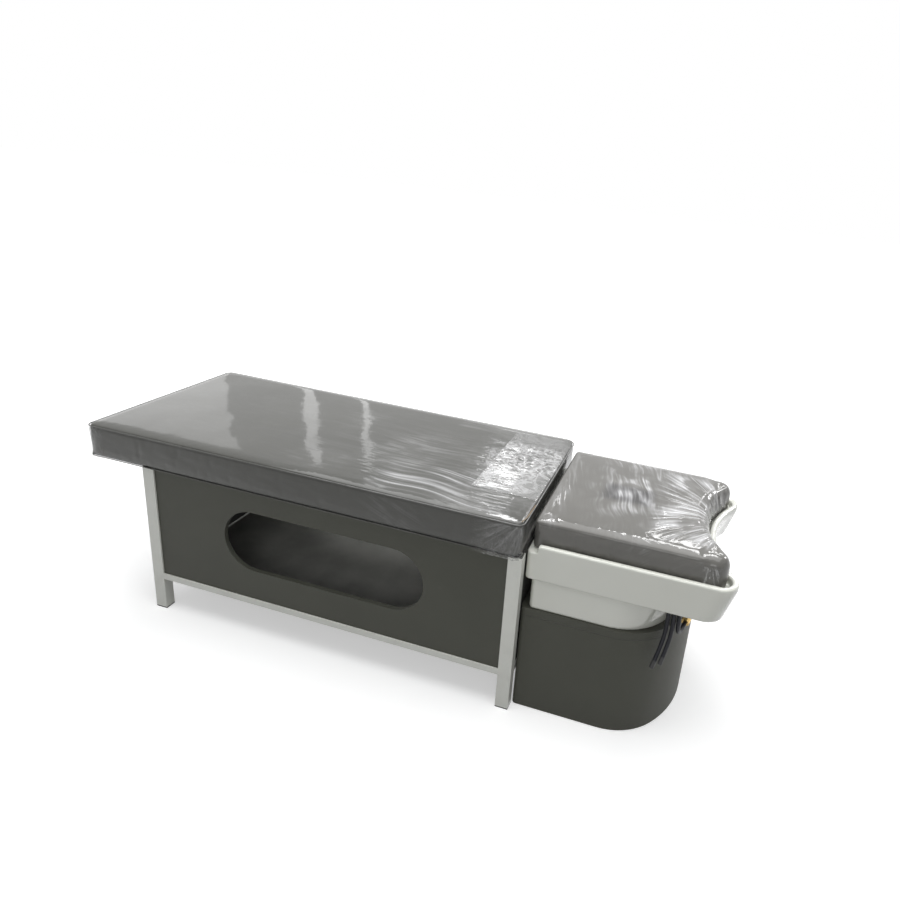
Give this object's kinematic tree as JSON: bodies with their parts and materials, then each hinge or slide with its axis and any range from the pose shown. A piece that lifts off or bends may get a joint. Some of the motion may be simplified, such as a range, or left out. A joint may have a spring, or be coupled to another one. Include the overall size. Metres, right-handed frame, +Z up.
{
  "type": "hair washing bed",
  "caption": "Salon hair washing bed: boxed frame with long rounded cut-outs, overhanging padded top, pedestal with a white shampoo basin, neck rest, tap and padded lid.",
  "frame": {"origin": "on the floor, under the middle of the whole bed", "axes": "+X from the foot end to the basin, +Z up, -Y towards the side with the tap"},
  "size_m": [2, 0.618, 0.625],
  "materials": {
    "powder_coat": "satin white powder coat",
    "cap_plastic": "matt white",
    "panel_leatherette": "matt dark grey leatherette",
    "plywood": "bare plywood",
    "cushion_leatherette": "grey leatherette under clear film",
    "foam": "open foam",
    "steel": "zinc plated",
    "basin_gloss": "glossy white",
    "chrome": "polished",
    "rubber": "satin black",
    "waste_plastic": "matt white",
    "black_plastic": "satin black",
    "brass": "turned"
  },
  "bodies": {
    "bed": {"leg_front_foot": "powder_coat", "leg_rear_foot": "powder_coat", "leg_front_head": "powder_coat", "leg_rear_head": "powder_coat", "lower_rail_front": "powder_coat", "lower_rail_rear": "powder_coat", "upper_rail_front": "powder_coat", "upper_rail_rear": "powder_coat", "lower_end_rails": "powder_coat", "upper_end_rails": "powder_coat", "lower_cross_rails": "powder_coat", "upper_cross_rails": "powder_coat", "leg_end_caps": "cap_plastic", "front_panel_cover": "panel_leatherette", "rear_panel_cover": "panel_leatherette", "foot_panel_cover": "panel_leatherette", "head_panel_cover": "panel_leatherette", "pedestal_cover": "panel_leatherette", "front_panel_board": "plywood", "rear_panel_board": "plywood", "foot_panel_board": "plywood", "head_panel_board": "plywood", "storage_floor_board": "plywood", "mattress_board": "plywood", "pedestal_shell": "plywood", "pedestal_top_board": "plywood", "pedestal_posts": "plywood", "mattress_pad": "cushion_leatherette", "mattress_foam": "foam", "board_bolts": "steel", "panel_screws": "steel", "pedestal_bolts": "steel", "neck_rest_screws": "steel", "pedestal_spacers": "steel", "basin": "basin_gloss", "basin_apron": "basin_gloss", "drain_flange": "chrome", "drain_tailpiece": "chrome", "neck_rest_pin": "chrome", "drain_gasket": "rubber", "hose_cold": "rubber", "hose_shower": "rubber", "hose_hot": "rubber", "drain_lock_nut": "waste_plastic", "bottle_trap": "waste_plastic", "waste_pipe": "waste_plastic", "mixer_body": "black_plastic", "mixer_lock_nut": "black_plastic", "hose_manifold": "black_plastic", "hose_cold_fitting": "black_plastic", "hose_shower_fitting": "black_plastic", "neck_rest_bracket": "black_plastic", "hose_hot_fitting": "brass"},
    "lid": {"lid_board": "plywood", "lid_pad": "cushion_leatherette"},
    "neck_arm": {"neck_rest_arm": "chrome"},
    "neck_pad": {"neck_rest_plate": "black_plastic", "neck_rest_pad": "cushion_leatherette"},
    "tap_knob": {"mixer_knob": "black_plastic"},
    "strainer": {"drain_strainer": "chrome"}
  },
  "joints": [
    {"name": "lid_lift", "type": "slide", "parent": "bed", "child": "lid", "axis": [0, 0, 1], "range_m": [0, 0.35]},
    {"name": "neck_arm_fold", "type": "hinge", "parent": "bed", "child": "neck_arm", "pos_m": [0.745, 0, 0.488], "axis": [0, -1, 0], "range_deg": [0, 155.4]},
    {"name": "neck_pad_tilt", "type": "hinge", "parent": "neck_arm", "child": "neck_pad", "pos_m": [0.832, 0, 0.441], "axis": [0, 1, 0], "range_deg": [0, 155.4]},
    {"name": "knob_turn", "type": "hinge", "parent": "bed", "child": "tap_knob", "pos_m": [0.856, -0.23, 0.5], "axis": [0, 0, 1], "range_deg": [-60, 60]},
    {"name": "strainer_lift", "type": "slide", "parent": "bed", "child": "strainer", "axis": [0, 0, 1], "range_m": [0, 0.06]}
  ],
  "couplings": [
    {"joint": "neck_arm_fold", "follows": "lid_lift", "rad_per_m": 7.7492},
    {"joint": "neck_pad_tilt", "follows": "lid_lift", "rad_per_m": 7.7492}
  ]
}
